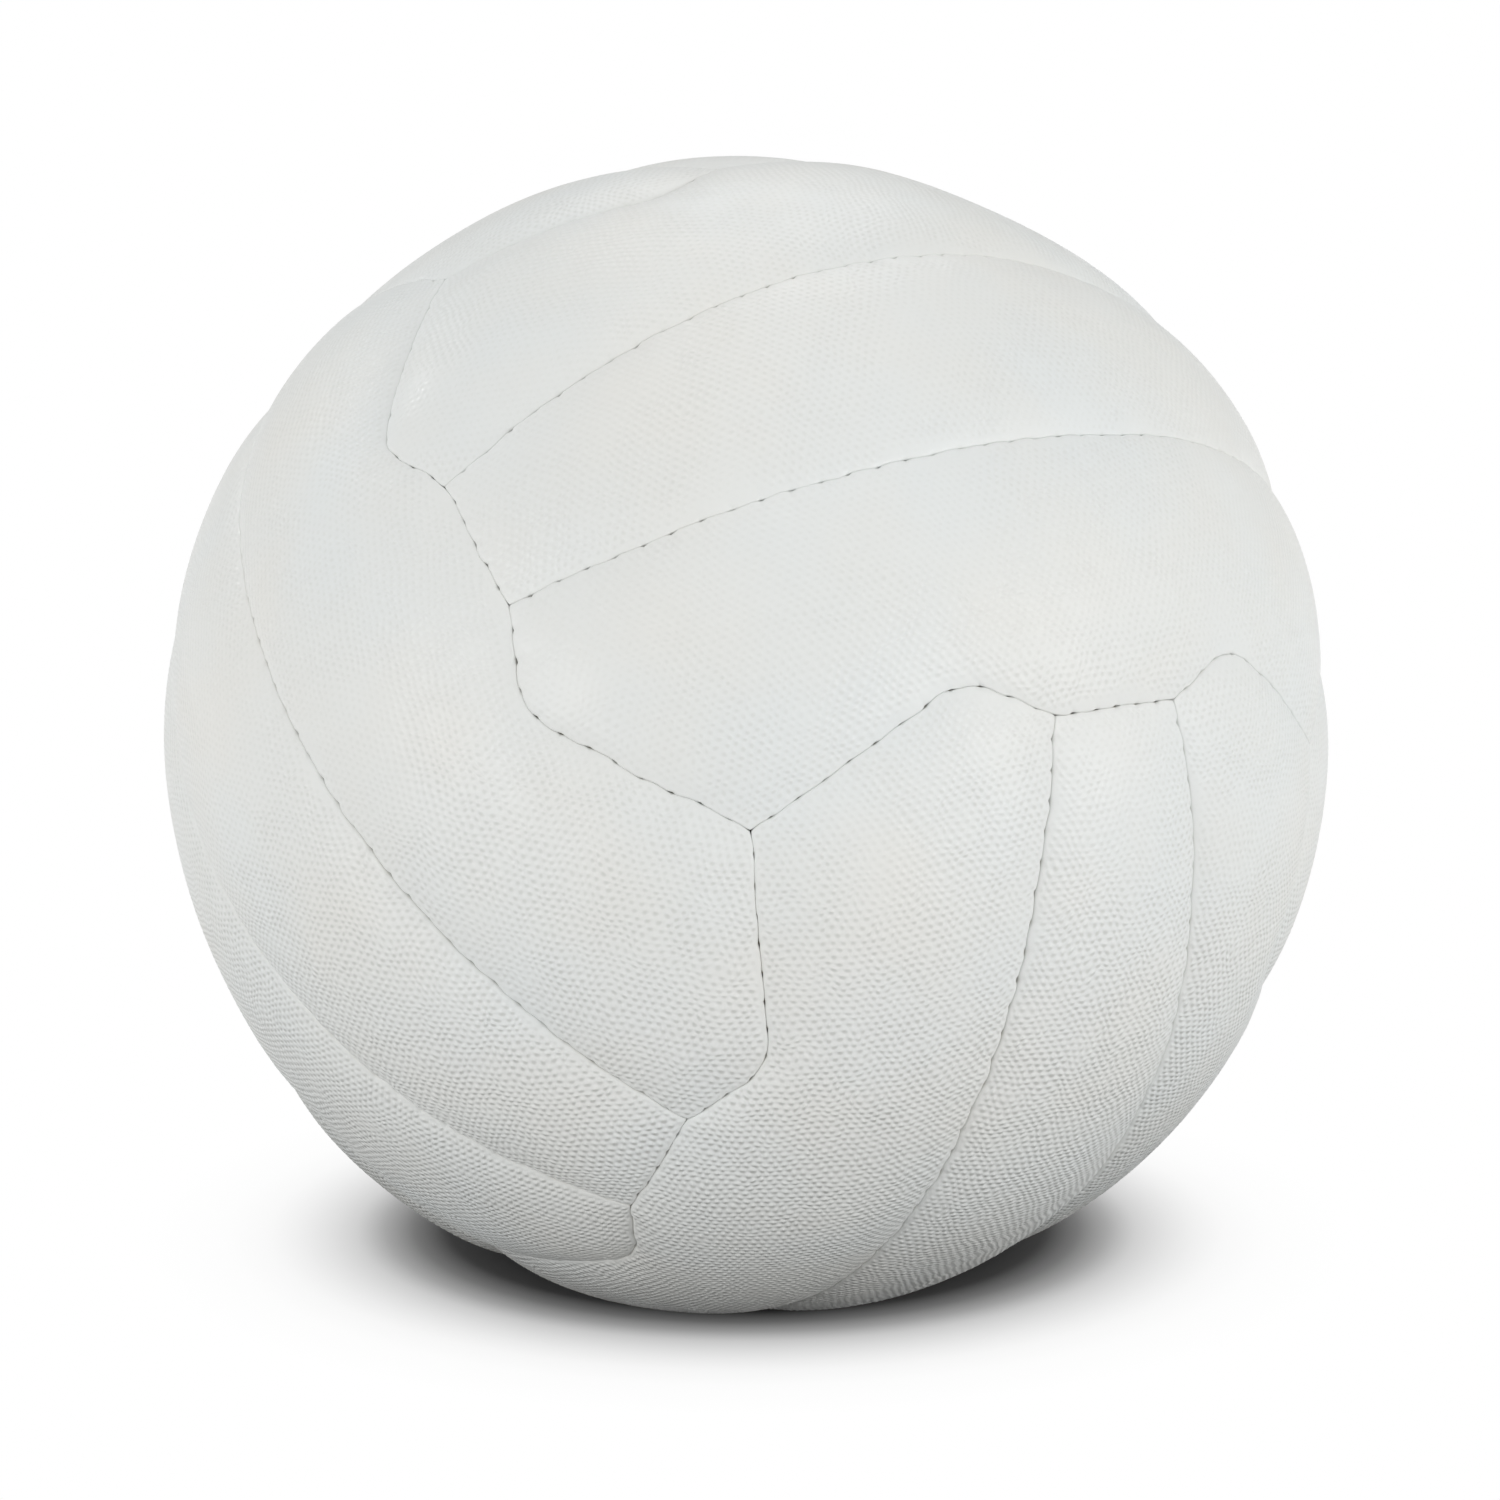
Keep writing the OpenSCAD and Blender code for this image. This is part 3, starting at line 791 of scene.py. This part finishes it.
def turned_mesh(outline):
    """Spins a closed outline of (radius, height) points round Z, and softens its circles."""
    mesh = bmesh.new()
    verts = [mesh.verts.new((r * MM, 0, z * MM)) for r, z in outline]
    closed = outline[0][0] > 0
    pairs = list(zip(verts, verts[1:])) + ([(verts[-1], verts[0])] if closed else [])
    edges = [mesh.edges.new(pair) for pair in pairs]
    bmesh.ops.spin(
        mesh, geom=verts + edges, cent=(0, 0, 0), axis=(0, 0, 1), angle=2 * math.pi, steps=TURN_STEPS,
        use_merge=True,
    )
    bmesh.ops.remove_doubles(mesh, verts=mesh.verts, dist=MERGE_DISTANCE * MM)
    bmesh.ops.recalc_face_normals(mesh, faces=mesh.faces)
    sharp = [e for e in mesh.edges if e.is_manifold and e.calc_face_angle() > SHARP_ANGLE]
    bmesh.ops.bevel(
        mesh, geom=sharp, offset=SOFT_EDGE * MM, affect="EDGES", segments=2, profile=0.5, material=-1,
        clamp_overlap=True,
    )
    return mesh


print("turned pieces have", TURN_STEPS, "steps and", SOFT_EDGE, "mm soft edges")

# %% [markdown]
# ## Stem and plug
# The stem's flange lies under the bladder's wall and its tube comes out through the cover. The plug sits in
# the tube, and the needle goes in through the small port at its middle. Heights are distances from the
# middle of the ball, along the valve's axis.

# %% Turn the stem and the plug
BLADDER_IN_R = 106.2
FIT_GAP = 0.1
STEM_R, STEM_TOP, STEM_BOTTOM = 4.0, 111.5, 97.2
VALVE_FLANGE_R, VALVE_FLANGE_T = 12.0, 1.4
PLUG_R, PLUG_BOTTOM = 2.5, 99.5
PORT_R, PORT_BOTTOM, PORT_CHAMFER = 1.05, 103.5, 0.6
VALVE_SHARP_ANGLE = math.radians(40)


def ball_height(ball_r, r):
    return math.sqrt(ball_r**2 - r**2)


flange_top = BLADDER_IN_R - FIT_GAP
flange_under = flange_top - VALVE_FLANGE_T
stem_outline = [
    (PORT_R, STEM_BOTTOM),
    (STEM_R, STEM_BOTTOM),
    (STEM_R, ball_height(flange_under, STEM_R)),
    (VALVE_FLANGE_R, ball_height(flange_under, VALVE_FLANGE_R)),
    (VALVE_FLANGE_R, ball_height(flange_top, VALVE_FLANGE_R)),
    (STEM_R, ball_height(flange_top, STEM_R)),
    (STEM_R, STEM_TOP),
    (PLUG_R + FIT_GAP, STEM_TOP),
    (PLUG_R + FIT_GAP, PLUG_BOTTOM - FIT_GAP),
    (PORT_R, PLUG_BOTTOM - FIT_GAP),
]
plug_outline = [
    (0, PLUG_BOTTOM),
    (PLUG_R, PLUG_BOTTOM),
    (PLUG_R, STEM_TOP),
    (PORT_R + PORT_CHAMFER, STEM_TOP),
    (PORT_R, STEM_TOP - PORT_CHAMFER),
    (PORT_R, PORT_BOTTOM),
    (0, PORT_BOTTOM),
]
VALVE_PIECES = (("valve_stem", stem_outline, "valve"), ("valve_plug", plug_outline, "valve_plug"))
valve_pieces = {}
for name, outline, slot in VALVE_PIECES:
    mesh = turned_mesh(outline)
    bmesh.ops.transform(mesh, matrix=face_turn("back").to_4x4(), verts=mesh.verts)
    valve_pieces[name] = finished_piece(name + "_turned", mesh, [name])
    valve_pieces[name].data.set_sharp_from_angle(angle=VALVE_SHARP_ANGLE)
    print(name, "faces:", len(valve_pieces[name].data.polygons))

# %% [markdown]
# ## Finishes
# The finishes are built from nodes. A small helper adds a node and wires its inputs in one line, so each
# finish below reads as a recipe.

# %% A helper for node recipes
class Recipe:
    """A material under construction. Each call adds a node and gives back the output that is named first."""

    def __init__(self, name):
        self.material = bpy.data.materials.new(name)
        self.material.use_nodes = True
        self.tree = self.material.node_tree
        self.shader = self.tree.nodes["Principled BSDF"]

    def add(self, kind, output=0, inputs=None, **settings):
        node = self.tree.nodes.new(kind)
        for key, value in settings.items():
            setattr(node, key, value)
        for key, value in (inputs or {}).items():
            self.wire(value, node.inputs[key])
        return node.outputs[output]

    def wire(self, value, socket):
        if isinstance(value, bpy.types.NodeSocket):
            self.tree.links.new(value, socket)
        else:
            socket.default_value = value

    def math(self, operation, a, b=0.0):
        return self.add("ShaderNodeMath", operation=operation, inputs={0: a, 1: b})

    def span(self, value, low, high, to_low=0.0, to_high=1.0):
        inputs = {"Value": value, "From Min": low, "From Max": high, "To Min": to_low, "To Max": to_high}
        return self.add("ShaderNodeMapRange", inputs=inputs)

    def mix(self, share, a, b):
        inputs = {"Factor": share, "A": a, "B": b}
        node = self.tree.nodes.new("ShaderNodeMix")
        node.data_type = "RGBA"
        for socket in node.inputs:
            if socket.name in inputs and socket.enabled:
                self.wire(inputs[socket.name], socket)
        return next(o for o in node.outputs if o.enabled)

    def noise(self, vector, size, detail=2.0):
        """Noise of about that size in metres, from 0 to 1."""
        return self.add("ShaderNodeTexNoise", inputs={"Vector": vector, "Scale": 1 / size, "Detail": detail})

    def bump(self, height, depth, normal=None):
        inputs = {"Height": height, "Distance": depth}
        if normal is not None:
            inputs["Normal"] = normal
        return self.add("ShaderNodeBump", inputs=inputs)

    def ramp(self, value, stops):
        """Grey levels at the given values, joined by straight lines. The last stop is the ramp's end."""
        node = self.tree.nodes.new("ShaderNodeValToRGB")
        end = stops[-1][0]
        for at, level in stops[1:-1]:
            node.color_ramp.elements.new(at / end).color = (level, level, level, 1)
        node.color_ramp.elements[0].position = stops[0][0] / end
        for k, level in ((0, stops[0][1]), (-1, stops[-1][1])):
            node.color_ramp.elements[k].color = (level, level, level, 1)
        self.wire(self.math("DIVIDE", value, end), node.inputs[0])
        return node.outputs[0]

    def finish(self, **sockets):
        for name, value in sockets.items():
            self.wire(value, self.shader.inputs[name.replace("_", " ")])
        return self.material


print("helper for materials:", Recipe.__name__)

# %% [markdown]
# ## Colours as they are seen
# A colour that is given from 0 to 255 isn't in step with the light that a surface gives back, which is what a
# shader works with. The colours below are written as they are seen, and this turns them into light.

# %% From a seen colour to light
def shade(red, green, blue):
    """A colour as it is seen, 0 to 255, turned into the light it gives back."""
    linear = [c / 255 / 12.92 if c <= 10 else ((c / 255 + 0.055) / 1.055) ** 2.4 for c in (red, green, blue)]
    return (*linear, 1.0)


print("white rubber as light:", [round(c, 2) for c in shade(231, 231, 227)])

# %% [markdown]
# ## Pimpled rubber
# The cover is white rubber with a thin shine over it. Its pimples are in the mesh, and the same pattern, read
# from the panel's own lattice, sharpens them here. Shade is painted just below each pimple, and the seams are
# tinted beige like the waxed thread and painted darker as shade, most of all at the stitches.

# %% The pattern as nodes
rubber = Recipe("white_pimpled_rubber")
place = rubber.add("ShaderNodeTexCoord", "Object")
lattice = rubber.add("ShaderNodeAttribute", "Vector", attribute_name="lattice")
relief = rubber.add("ShaderNodeSeparateXYZ", "Z", inputs={0: lattice})


def pimples_above(drop):
    """The pattern's height a little above each point, by the drop in mm, times the relief there."""
    total = 0.0
    for wave in LATTICE:
        inputs = {0: lattice, 1: (*wave, 0)}
        dot = rubber.add("ShaderNodeVectorMath", "Value", operation="DOT_PRODUCT", inputs=inputs)
        total = rubber.math("ADD", total, rubber.math("COSINE", rubber.math("ADD", dot, wave[1] * drop)))
    return rubber.math("MULTIPLY", rubber.math("MULTIPLY", total, 1 / 3), relief)


height = pimples_above(0.0)
seam = rubber.add("ShaderNodeAttribute", "Fac", attribute_name="seam")
print("pattern nodes:", len(rubber.tree.nodes))

# %% [markdown]
# ## Colour, grain and shine of the rubber
# The white drifts between a warm and a cool tone over a few centimetres. The grain is far finer than the
# pimples. Values that are the same all over the ball are set on the shader's own sockets.

# %% White rubber for the panels
GRIP_SHARPEN = 0.12 * MM
GRAIN_SIZE, GRAIN_DEPTH = 0.25 * MM, 0.006 * MM
NOISE_RANGE = (0.3, 0.7)
TONE_SIZE, SEAM_TINT_SHADE_SIZE, GLOSS_SIZE = 35 * MM, 4 * MM, 12 * MM
# Painted shade just below each pimple: how far below it lies in mm, where it is full, and its largest share.
PIMPLE_SHADE_DROP, PIMPLE_SHADE_FULL, PIMPLE_SHADE_SHARE = 0.4, 0.9, 0.5
# How patchy and how strong the seams' beige tint and painted shade are.
SEAM_TINT_SHADE_RANGE, SEAM_TINT_SHADE_SHARE = (0.35, 0.7), 0.4
ROUGH_LEAST, ROUGH_MOST, PIMPLE_POLISH = 0.45, 0.58, 0.08
WARM_WHITE, COOL_WHITE = shade(231, 231, 227), shade(229, 232, 231)
# The colour of the painted shade below each pimple, and the seams' beige tint, which also paints their shade.
PIMPLE_SHADE, SEAM_TINT_SHADE = shade(205, 207, 201), shade(160, 152, 130)

white = rubber.mix(rubber.span(rubber.noise(place, TONE_SIZE), *NOISE_RANGE), WARM_WHITE, COOL_WHITE)
# Shade is painted just below each pimple, where its lower side turns from the light, more where the relief is
# strong.
pimple_shaded = rubber.mix(rubber.span(pimples_above(PIMPLE_SHADE_DROP), 0.0, PIMPLE_SHADE_FULL, 0.0, PIMPLE_SHADE_SHARE), white, PIMPLE_SHADE)
seam_tint_shade_share = rubber.span(rubber.noise(place, SEAM_TINT_SHADE_SIZE), *SEAM_TINT_SHADE_RANGE, 0.0, SEAM_TINT_SHADE_SHARE)
# The seams are tinted beige like the waxed thread and painted darker as shade in their groove.
color = rubber.mix(rubber.math("MULTIPLY", seam, seam_tint_shade_share), pimple_shaded, SEAM_TINT_SHADE)
grain = rubber.bump(rubber.noise(place, GRAIN_SIZE), GRAIN_DEPTH)
normal = rubber.bump(height, GRIP_SHARPEN, grain)
gloss = rubber.span(rubber.noise(place, GLOSS_SIZE), *NOISE_RANGE, ROUGH_LEAST, ROUGH_MOST)
roughness = rubber.math("SUBTRACT", gloss, rubber.math("MULTIPLY", height, PIMPLE_POLISH))
rubber.finish(Base_Color=color, Roughness=roughness, Normal=normal, Coat_Normal=normal)
rubber.shader.inputs["Specular IOR Level"].default_value = 0.4
rubber.shader.inputs["Coat Weight"].default_value = 0.15
rubber.shader.inputs["Coat Roughness"].default_value = 0.12
for skin in skins:
    skin.data.materials.append(rubber.material)
print("rubber nodes:", len(rubber.tree.nodes))

# %% [markdown]
# ## Thread, cloth and the rubber inside
# The thread is waxed and twisted: a slanted wave gives the twist. The lining is a plain woven cloth, from two
# crossed waves. The bladder, its patch and the valve are smooth moulded rubber with a little bloom.

# %% Finishes for the pieces under the cover
TWIST_SCALE, TWIST_DEPTH = 900.0, 0.08 * MM
WEAVE_SCALE, WEAVE_DEPTH, CLOTH_TONE_SIZE = 320.0, 0.12 * MM, 15 * MM
FINE_SIZE, FINE_DEPTH = 0.3 * MM, 0.01 * MM
BLOOM_RANGE, BLOOM_DETAIL = (0.35, 0.75), 4.0
BLOOM_SHINE, BLOOM_DULL = 0.08, 0.1


def waxed_thread():
    r = Recipe("waxed_thread")
    place = r.add("ShaderNodeTexCoord", "Object")
    inputs = {"Vector": place, "Scale": TWIST_SCALE, "Distortion": 1.5, "Detail": 1.0}
    twist = r.add("ShaderNodeTexWave", "Fac", wave_type="BANDS", bands_direction="DIAGONAL", inputs=inputs)
    color = r.mix(twist, shade(132, 126, 108), shade(176, 170, 150))
    return r.finish(Base_Color=color, Roughness=0.55, Normal=r.bump(twist, TWIST_DEPTH))


def woven_cloth():
    r = Recipe("woven_cloth")
    place = r.add("ShaderNodeTexCoord", "Object")
    inputs = {"Vector": place, "Scale": WEAVE_SCALE, "Distortion": 0.6}
    weave = [r.add("ShaderNodeTexWave", "Fac", bands_direction=way, inputs=inputs) for way in ("X", "Z")]
    cross = r.math("MULTIPLY", weave[0], weave[1])
    tone = r.math("MULTIPLY", cross, r.noise(place, CLOTH_TONE_SIZE))
    color = r.mix(tone, shade(178, 156, 122), shade(222, 206, 176))
    return r.finish(Base_Color=color, Roughness=0.95, Normal=r.bump(cross, WEAVE_DEPTH))


def moulded_rubber(name, dark, light, roughness, bloom_size):
    r = Recipe(name)
    place = r.add("ShaderNodeTexCoord", "Object")
    bloom = r.noise(place, bloom_size, BLOOM_DETAIL)
    color = r.mix(r.span(bloom, *BLOOM_RANGE), dark, light)
    fine = r.bump(r.noise(place, FINE_SIZE), FINE_DEPTH)
    dull = r.span(bloom, *NOISE_RANGE, roughness - BLOOM_SHINE, roughness + BLOOM_DULL)
    return r.finish(Base_Color=color, Roughness=dull, Normal=fine)


thread_finish, cloth_finish = waxed_thread(), woven_cloth()
bladder_finish = moulded_rubber("bladder_rubber", shade(96, 30, 26), shade(132, 58, 50), 0.45, 18 * MM)
patch_finish = moulded_rubber("patch_rubber", shade(120, 36, 30), shade(150, 66, 56), 0.5, 8 * MM)
stem_finish = moulded_rubber("stem_rubber", shade(196, 197, 192), shade(214, 214, 209), 0.5, 3 * MM)
plug_finish = moulded_rubber("plug_rubber", shade(44, 44, 46), shade(66, 66, 66), 0.42, 2 * MM)
print("finishes:", [m.name for m in bpy.data.materials])

# %% [markdown]
# ## Dressing the CAD pieces
# Thread, linings, bladder and patch have the right shape already. Each keeps its CAD mesh, and only its
# material slots are filled anew.

# %% Hand out the finishes
def finish_for(name):
    """The finish of a CAD piece that stays in the scene, or None where a new piece stands for it."""
    if name.endswith("_thread"):
        return thread_finish
    if "_lining" in name:
        return cloth_finish
    return {"bladder": bladder_finish, "valve_patch": patch_finish}.get(name)


dressed = 0
for name, cad in nodes.items():
    finish = finish_for(name)
    if finish is not None:
        cad.data.materials.clear()
        cad.data.materials.append(finish)
        dressed += 1
valve_pieces["valve_stem"].data.materials.append(stem_finish)
valve_pieces["valve_plug"].data.materials.append(plug_finish)
print("CAD pieces with new finishes:", dressed)

# %% [markdown]
# ## Floor
# The ball stands on a white floor that runs out of the picture. To the camera and in reflections the floor is
# white away from the ball, and the ball's shadow is painted into its colour. The light that it throws back is
# painted darker near the ball too, and grows with the distance from it, so the underside stays in shade.

# %% Floor
FLOOR_REACH = 20.0
floor_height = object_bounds()[0][2]
floor_mesh = bmesh.new()
bmesh.ops.create_grid(floor_mesh, x_segments=2, y_segments=2, size=FLOOR_REACH)
bmesh.ops.translate(floor_mesh, vec=(0, 0, floor_height), verts=floor_mesh.verts)
floor_data = bpy.data.meshes.new("floor")
floor_mesh.to_mesh(floor_data)
floor_mesh.free()
floor = bpy.data.objects.new("floor", floor_data)
bpy.context.scene.collection.objects.link(floor)
print("floor at", round(floor_height / MM, 2), "mm")

# %% [markdown]
# ## The floor's finish
# Every level depends on the distance from the ball's foot, measured a little behind it and squeezed, because
# the shadow is wider than it is deep. Rows give a distance and a level: the grey of the painted shadow, the
# painted shade in the light thrown back, the white in glossy reflections, and the white that the camera sees.

# %% White floor with a painted soft shadow
SHADOW_BACK, SHADOW_SQUEEZE = 26 * MM, 1.3
# The painted shadow: the floor's colour to the camera, dark at the ball's foot.
PAINTED_SHADOW_LEVELS = ((50 * MM, 0.05), (63 * MM, 0.13), (75 * MM, 0.4), (87 * MM, 0.65), (100 * MM, 0.9))
# Painted shade in the light that the floor throws back: none near the ball.
BOUNCE_SHADE_LEVELS = ((70 * MM, 0.0), (130 * MM, 0.1), (260 * MM, 0.7))
MIRROR_SHARES = ((90 * MM, 0.0), (130 * MM, 0.3), (260 * MM, 1.0))
WHITE_SHARES = (
    (62 * MM, 0.0), (69 * MM, 0.08), (75 * MM, 0.24), (81 * MM, 0.5), (87 * MM, 0.64), (93 * MM, 0.77),
    (99 * MM, 0.88), (108 * MM, 0.96), (125 * MM, 1.0),
)

ground = Recipe("white_floor")


def vector_math(operation, output, vector, other=(0, 0, 0)):
    return ground.add("ShaderNodeVectorMath", output, operation=operation, inputs={0: vector, 1: other})


place = ground.add("ShaderNodeTexCoord", "Object")
behind = vector_math("SUBTRACT", 0, place, (0, SHADOW_BACK, 0))
squeezed = vector_math("MULTIPLY", 0, behind, (1, SHADOW_SQUEEZE, 0))
away = vector_math("LENGTH", "Value", squeezed)
seen = ground.add("ShaderNodeLightPath", "Is Camera Ray")
glossy = ground.add("ShaderNodeLightPath", "Is Glossy Ray")
# The floor's colour holds the painted shadow for the camera and the painted shade of its bounce for other
# rays.
painted_shadow = ground.mix(seen, ground.ramp(away, BOUNCE_SHADE_LEVELS), ground.ramp(away, PAINTED_SHADOW_LEVELS))
diffuse = ground.add("ShaderNodeBsdfDiffuse", inputs={"Color": painted_shadow})
white = ground.add("ShaderNodeEmission", inputs={"Color": (1, 1, 1, 1), "Strength": 1.0})
white_seen = ground.math("MULTIPLY", ground.ramp(away, WHITE_SHARES), seen)
white_mirrored = ground.math("MULTIPLY", ground.ramp(away, MIRROR_SHARES), glossy)
white_share = ground.math("ADD", white_seen, white_mirrored)
both = ground.add("ShaderNodeMixShader", inputs={0: white_share, 1: diffuse, 2: white})
ground.tree.links.new(both, ground.tree.nodes["Material Output"].inputs["Surface"])
floor_data.materials.append(ground.material)
print("floor nodes:", len(ground.tree.nodes))

# %% [markdown]
# ## Soft boxes
# Six soft boxes light the ball from above, from both sides, low down in front and from behind. A small lamp
# behind adds a faint glint near the left edge. Point lamps would be simpler, but their shadows are hard, and
# the photograph has none, so these are large area lamps.

# %% Lamps
def soft_box(name, elevation, azimuth, distance, size, power):
    """A square lamp that faces the ball. Azimuth 0 is the camera's side, and grows to the right."""
    e, a = math.radians(elevation), math.radians(azimuth)
    place = distance * Vector((math.cos(e) * math.sin(a), -math.cos(e) * math.cos(a), math.sin(e)))
    box = bpy.data.objects.new(name, bpy.data.lights.new(name, "AREA"))
    box.data.shape, box.data.size, box.data.energy = "SQUARE", size, power
    box.location = place
    box.rotation_euler = (-place).to_track_quat("-Z", "Y").to_euler()
    bpy.context.scene.collection.objects.link(box)


# Each row is a lamp, its elevation and azimuth in degrees, its distance and size in metres, and its watts.
LAMPS = (
    ("soft_box_above", 90, 0, 1.2, 0.8, 2.25),
    ("soft_box_left", 20, -75, 1.5, 0.8, 1.5),
    ("soft_box_right", 20, 75, 1.5, 0.8, 3.4),
    ("low_soft_box_left", 10, -50, 1.5, 0.7, 6.9),
    ("low_soft_box_right", 10, 50, 1.5, 0.7, 6.7),
    ("soft_box_behind", 50, 180, 1.5, 0.8, 3.4),
    ("small_lamp_behind", 33, -124, 1.5, 0.1, 1.0),
)
for lamp in LAMPS:
    soft_box(*lamp)

# %% [markdown]
# ## The room
# The world lights the ball at a plain, even level. To the camera it is white, so the floor's far edge and the
# backdrop can't be told apart.

# %% World
WORLD_LEVEL = 0.44

world = bpy.data.worlds.new("room")
bpy.context.scene.world = world
world.use_nodes = True
room = world.node_tree
light_path = room.nodes.new("ShaderNodeLightPath")
level = room.nodes.new("ShaderNodeMath")
level.operation = "MULTIPLY_ADD"
level.inputs[1].default_value = 1 - WORLD_LEVEL
level.inputs[2].default_value = WORLD_LEVEL
room.links.new(light_path.outputs["Is Camera Ray"], level.inputs[0])
room.nodes["Background"].inputs["Color"].default_value = (1, 1, 1, 1)
room.links.new(level.outputs[0], room.nodes["Background"].inputs["Strength"])
print("world level:", WORLD_LEVEL)
